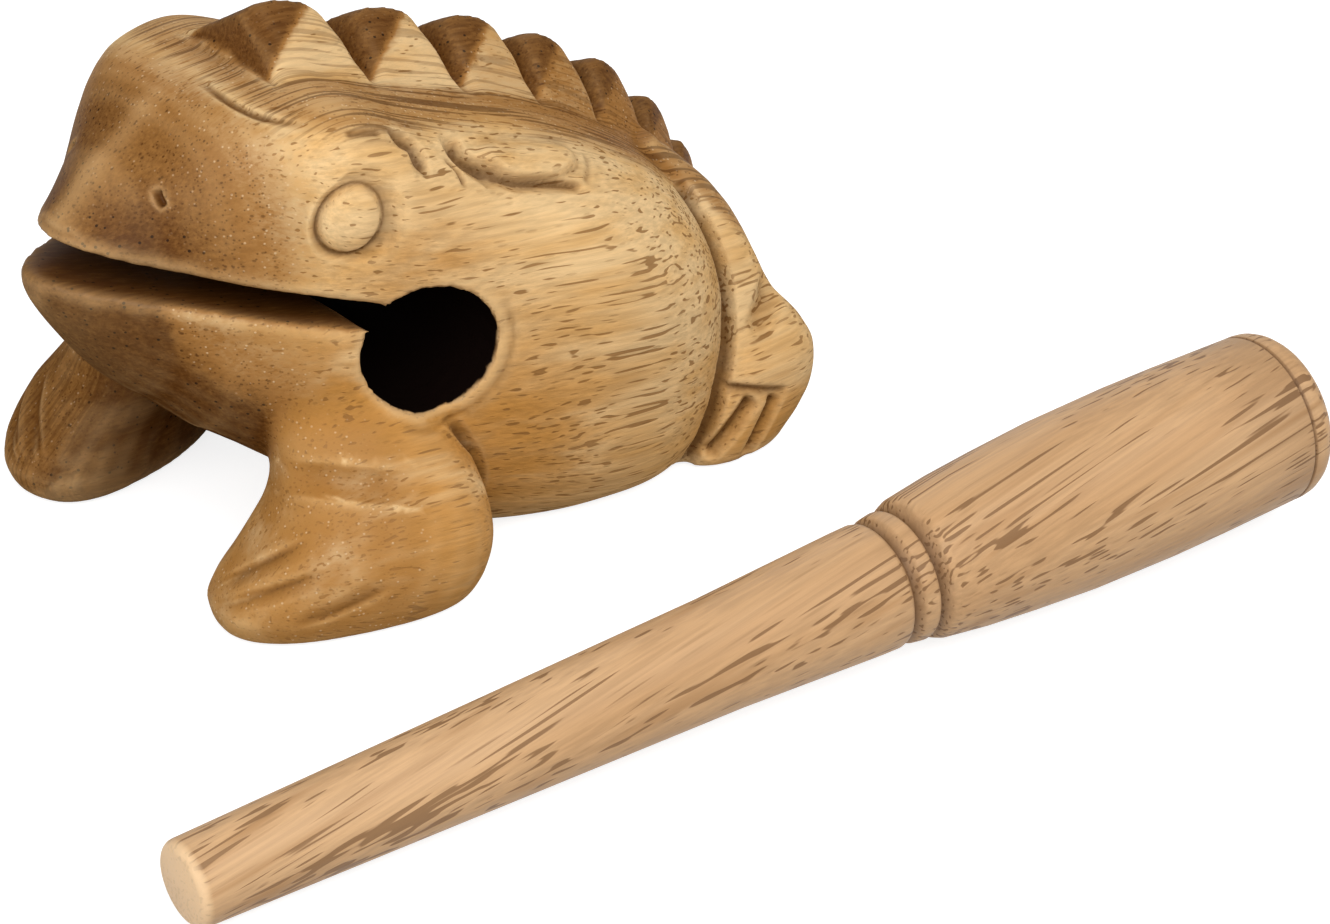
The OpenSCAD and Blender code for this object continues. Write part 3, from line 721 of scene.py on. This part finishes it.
dust = scatter(tree, grain, *DUST_SPOTS)
dust = sum_up(tree, "MULTIPLY", dust, fade_between(tree, shares["scorch_and_shade"], 0.15, 0.4))
dust = sum_up(tree, "MULTIPLY", dust, fade_between(tree, shares["scorch_and_shade"], 1.0, 0.6))
browned_and_shaded = tint(tree, dust, 0.55, browned_and_shaded, DUST)
on_back = on_vectors(tree, "MULTIPLY", grain, (1.0, 1.0, BACK_LINE_RISE))
lines = fade_between(tree, clouds(tree, on_back, BACK_LINE_SIZE, 1.0)["Fac"], 0.5, 0.6)
lines = sum_up(tree, "MULTIPLY", lines, shares["lined"])
browned_and_shaded = tint(tree, lines, 0.7, browned_and_shaded, CHAR_AND_SHADE)
specks = scatter(tree, grain, *BURNT_SPECKS)
specks = sum_up(tree, "MULTIPLY", specks, fade_between(tree, shares["scorch_and_shade"], 0.25, 0.55))
browned_and_shaded = tint(tree, specks, 0.7, browned_and_shaded, CHAR_AND_SHADE)
pits = scatter(tree, grain, *BURNT_PITS)
pits = sum_up(tree, "MULTIPLY", pits, fade_between(tree, shares["scorch_and_shade"], 0.7, 0.85))
browned_and_shaded = tint(tree, pits, 0.85, browned_and_shaded, SOOT_AND_SHADE)
# Painted shade: crevices and cuts are darkened towards char brown.
colour = tint(tree, shares["painted_crevice_shade"], 0.8, browned_and_shaded, CHAR_AND_SHADE)
# Edges rubbed bare, and painted highlights on them, turn paler towards straw.
colour = tint(tree, shares["worn_and_highlit"], 0.4, colour, STRAW)
# Painted shade: the drilled hole turns black.
colour = blend_colours(tree, fade_between(tree, shares["scorch_and_shade"], 1.2, 1.5), colour, SOOT_AND_SHADE)

relief = sum_up(tree, "MULTIPLY_ADD", figure["Pores"], -0.7, figure["Fibres"])
relief = sum_up(tree, "MULTIPLY_ADD", figure["Dashes"], -0.5, relief)
relief = sum_up(tree, "MULTIPLY_ADD", dust, 0.5, relief)
feeds = {"Strength": 0.4, "Distance": PORE_DEPTH * MM, "Height": relief}
bump = add(tree, "ShaderNodeBump", feeds).outputs[0]
sheen = fade_between(tree, figure["Fibres"], 0.25, 0.75, 0.36, 0.5)
oil = fade_between(tree, shares["scorch_and_shade"], 0.2, 0.6, 0.04, 0.14)
oil = sum_up(tree, "MULTIPLY", oil, shares["polish"])
looks = {"Base Color": colour, "Roughness": sheen, "Normal": bump, "Specular IOR Level": 0.0,
         "Coat Weight": oil, "Coat Roughness": 0.3}
surface = add(tree, "ShaderNodeBsdfPrincipled", looks)
add(tree, "ShaderNodeOutputMaterial", {"Surface": surface.outputs[0]})
frog.data.materials.append(finish)
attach(frog, "frog")
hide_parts("frog_body")

# The stick. Turned on a lathe from a straight pale blank: a thin playing end that swells to a neck,
# two grooves with a collar between them, and a handle with one scored line before its end.
STICK_TIP = (66.8, -78.5, 5.128)
STICK_TURN, STICK_TILT = math.radians(4.7), math.radians(2.697)
STICK_LEN = 159.5
TURNED_STEPS = 128
# Radius and distance from the tip: swelling end, two grooves round the collar, handle, scored line.
SHAFT = [(5.2, 1.4), (6.874, 72.0), (7.819, 91.9), (7.88, 94.3), (7.75, 94.75)]
GROOVES = [(6.75, 95.5), (6.7, 95.7), (7.75, 96.4), (7.95, 96.75), (8.15, 98.1), (8.05, 98.45),
           (6.72, 99.2)]
HANDLE = [(6.72, 99.45), (8.3, 100.1), (8.6, 100.45), (8.95, 101.3), (9.74, 107.3), (10.34, 114.35)]
GRIP = [(10.93, 123.2), (11.2, 135.5), (11.15, 143.0), (10.91, 154.55), (10.87, 154.72), (10.5, 154.86)]
BUTT = [(10.5, 154.95), (10.86, 155.1), (10.9, 155.3)]
TIP_ROUND, BUTT_ROUND, BUTT_ROUND_FROM = 1.4, 3.2, 155.9
ROUND_STEPS = 6
# Where the two grooves and the scored line lie, and how wide their brown is.
BROWNED = ((95.6, 0.7), (99.3, 0.7), (154.9, 0.3))
STICK_VESSELS = 1.35


def round_over(radius, centre, size, start, end):
    """Places round a rounded edge, from one angle to another, in degrees."""
    for turn in np.linspace(start, end, ROUND_STEPS):
        yield radius + size * math.cos(math.radians(turn)), centre + size * math.sin(math.radians(turn))


tip_edge = list(round_over(SHAFT[0][0] - TIP_ROUND, TIP_ROUND, TIP_ROUND, -75, -12))
butt_edge = list(round_over(BUTT[-1][0] - BUTT_ROUND, BUTT_ROUND_FROM, BUTT_ROUND, 0, 80))
outline = [(0, 0), *tip_edge, *SHAFT, *GROOVES, *HANDLE, *GRIP, *BUTT, *butt_edge, (0, STICK_LEN)]
turning = bmesh.new()
ring_points = [turning.verts.new((radius * MM, along * MM, 0)) for radius, along in outline]
ring_edges = [turning.edges.new(pair) for pair in zip(ring_points, ring_points[1:])]
bmesh.ops.spin(turning, geom=ring_points + ring_edges, cent=(0, 0, 0), axis=(0, 1, 0),
               angle=math.tau, steps=TURNED_STEPS, use_merge=True)
bmesh.ops.remove_doubles(turning, verts=turning.verts, dist=MERGE * MM)
bmesh.ops.recalc_face_normals(turning, faces=turning.faces)
turned = Euler((STICK_TILT, 0, -STICK_TURN)).to_matrix().to_4x4()
laid_down = Matrix.Translation(Vector(STICK_TIP) * MM) @ turned
bmesh.ops.transform(turning, matrix=laid_down, verts=turning.verts)
stick = bpy.data.objects.new("turned_stick", bpy.data.meshes.new("turned_stick"))
turning.to_mesh(stick.data)
turning.free()
stick.data.shade_smooth()
bpy.context.scene.collection.objects.link(stick)

points = read_points(stick.data)
along = (points - STICK_TIP) @ np.array(laid_down.to_3x3() @ Vector((0, 1, 0)))
in_groove = sum(fall(along - middle, width) for middle, width in BROWNED)
paint(stick, "groove", np.clip(in_groove, 0.0, 1.0))
paint(stick, "vessels", np.full(len(points), STICK_VESSELS))
# The tip's end face is painted paler, as painted light.
paint(stick, "lit_tip_face", 1.0 - ramp(along, 0.3, 1.6))

# The stick's finish: the same kind of wood left pale, its grain running out a little upwards and to one
# side, with the grooves browned by the lathe tool and the tip's end face painted paler as painted light.
# Its wood figure is drawn larger than the frog's, by one factor across the grain and one along it.
GRAIN_RISE, GRAIN_RUNOUT = math.radians(7), math.radians(5.5)
FIGURE_ACROSS, FIGURE_ALONG = 1.05, 4.4
STICK_PORE_DEPTH = 0.2
CREAM = (0.54, 0.333, 0.172, 1.0)
BUFF = (0.465, 0.272, 0.13, 1.0)
BUFF_STREAK = (0.37, 0.20, 0.085, 1.0)
STREAK_BROWN = (0.19, 0.095, 0.038, 1.0)
GROOVE_BROWN = (0.12, 0.055, 0.02, 1.0)
TIP_FACE_LIGHT = (0.80, 0.56, 0.33, 1.0)

stick_finish = bpy.data.materials.new("pale_stick_wood")
stick_finish.use_nodes = True
tree = stick_finish.node_tree
tree.nodes.clear()
place = add(tree, "ShaderNodeTexCoord").outputs["Object"]
lie = {"Vector": place, "Location": Vector(STICK_TIP) * MM,
       "Rotation": (STICK_TILT + GRAIN_RISE, 0, GRAIN_RUNOUT - STICK_TURN)}
on_stick = add(tree, "ShaderNodeMapping", lie, vector_type="TEXTURE").outputs[0]
grain = stretch(tree, on_stick, (FIGURE_ACROSS * MM, FIGURE_ALONG * MM))
shares = read_shares(tree, ("groove", "lit_tip_face", "vessels"))
figure = wood_figure(tree, grain, shares["vessels"])
colour = blend_colours(tree, fade_between(tree, figure["Clouds"], 0.4, 0.7), CREAM, BUFF)
fibre_shade = grey(tree, fade_between(tree, figure["Fibres"], 0.3, 0.7, 0.88, 1.08))
colour = blend_colours(tree, 1.0, colour, fibre_shade, "MULTIPLY")
colour = tint(tree, figure["Streaks"], 0.7, colour, BUFF_STREAK)
colour = tint(tree, figure["Dashes"], 0.85, colour, STREAK_BROWN)
colour = tint(tree, figure["Pores"], 0.25, colour, STREAK_BROWN)
colour = tint(tree, shares["groove"], 0.85, colour, GROOVE_BROWN)
# Painted light: the tip's end face is lightened.
colour = tint(tree, shares["lit_tip_face"], 0.75, colour, TIP_FACE_LIGHT)
relief = sum_up(tree, "MULTIPLY_ADD", figure["Dashes"], -0.6, figure["Fibres"])
feeds = {"Strength": 0.35, "Distance": STICK_PORE_DEPTH * MM, "Height": relief}
bump = add(tree, "ShaderNodeBump", feeds).outputs[0]
sheen = fade_between(tree, figure["Fibres"], 0.25, 0.75, 0.42, 0.56)
looks = {"Base Color": colour, "Roughness": sheen, "Normal": bump, "Specular IOR Level": 0.2}
surface = add(tree, "ShaderNodeBsdfPrincipled", looks)
add(tree, "ShaderNodeOutputMaterial", {"Surface": surface.outputs[0]})
stick.data.materials.append(stick_finish)
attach(stick, "stick")
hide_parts("scraper_stick")

# The stage: a studio floor that looks white where it is seen or mirrored but sheds no more light than
# grey paper does, four soft lights, and the camera where the photograph was taken.
FLOOR_HALF, FLOOR_DROP = 6.0, 0.05 * MM
FLOOR_GREY = (0.45, 0.45, 0.45, 1.0)
WHITE = (1.0, 1.0, 1.0, 1.0)
FLOOR_GLOW, ROOM_LIGHT = 0.8, 0.25
# Lamps: turn and rise as seen from the target, in degrees, distance and size in metres, and watts.
LAMPS = {
    "key": (58, 42, 0.9, 0.8, 6.2),
    "fill": (5, 25, 1.0, 0.9, 3.6),
    "back": (125, 50, 0.9, 0.9, 3.2),
    "far": (240, 30, 1.0, 0.9, 1.8),
}
CAMERA_TURN, CAMERA_RISE = math.radians(49.9), math.radians(30)
CAMERA_TARGET = Vector((0.0235, 0.0265, 0.0))
CAMERA_DISTANCE = 0.576
PHOTO_WIDTH, PHOTO_FOCAL = 1330, 4500
SENSOR = 36.0


def stand_back(turn, rise, distance):
    """The place that far from the target, round it by the turn and above it by the rise."""
    level = math.cos(rise)
    back = Vector((math.sin(turn) * level, -math.cos(turn) * level, math.sin(rise)))
    return CAMERA_TARGET + distance * back, back.to_track_quat("Z", "Y").to_euler()


floor = bpy.data.objects.new("studio_floor", bpy.data.meshes.new("studio_floor"))
sheet = bmesh.new()
bmesh.ops.create_grid(sheet, x_segments=1, y_segments=1, size=FLOOR_HALF)
bmesh.ops.translate(sheet, verts=sheet.verts, vec=(0, 0, -FLOOR_DROP))
sheet.to_mesh(floor.data)
sheet.free()
bpy.context.scene.collection.objects.link(floor)
paper = bpy.data.materials.new("white_paper")
paper.use_nodes = True
tree = paper.node_tree
tree.nodes.clear()
matt = add(tree, "ShaderNodeBsdfDiffuse", {"Color": FLOOR_GREY})
glow = add(tree, "ShaderNodeEmission", {"Color": WHITE, "Strength": FLOOR_GLOW})
both = add(tree, "ShaderNodeAddShader", {0: matt.outputs[0], 1: glow.outputs[0]})
rays = add(tree, "ShaderNodeLightPath").outputs
mirrored = sum_up(tree, "MAXIMUM", rays["Is Glossy Ray"], rays["Is Transmission Ray"])
seen = sum_up(tree, "MAXIMUM", rays["Is Camera Ray"], mirrored)
floor_look = add(tree, "ShaderNodeMixShader", {0: seen, 1: matt.outputs[0], 2: both.outputs[0]})
add(tree, "ShaderNodeOutputMaterial", {"Surface": floor_look.outputs[0]})
floor.data.materials.append(paper)

for name, (turn, rise, distance, size, power) in LAMPS.items():
    lamp = bpy.data.lights.new(name, "AREA")
    lamp.shape = "DISK"
    lamp.size = size
    lamp.energy = power
    light = bpy.data.objects.new(name, lamp)
    light.location, light.rotation_euler = stand_back(math.radians(turn), math.radians(rise), distance)
    bpy.context.scene.collection.objects.link(light)

world = bpy.data.worlds.new("studio")
bpy.context.scene.world = world
world.use_nodes = True
backdrop = world.node_tree.nodes["Background"].inputs
backdrop["Color"].default_value = WHITE
backdrop["Strength"].default_value = ROOM_LIGHT

lens = bpy.data.cameras.new("photo_camera")
lens.sensor_width = SENSOR
lens.lens = SENSOR * PHOTO_FOCAL / PHOTO_WIDTH
lens.clip_start, lens.clip_end = 0.01, 50.0
camera = bpy.data.objects.new("photo_camera", lens)
camera.location, camera.rotation_euler = stand_back(CAMERA_TURN, CAMERA_RISE, CAMERA_DISTANCE)
bpy.context.scene.collection.objects.link(camera)
bpy.context.scene.camera = camera
bpy.context.scene.view_settings.view_transform = "Standard"
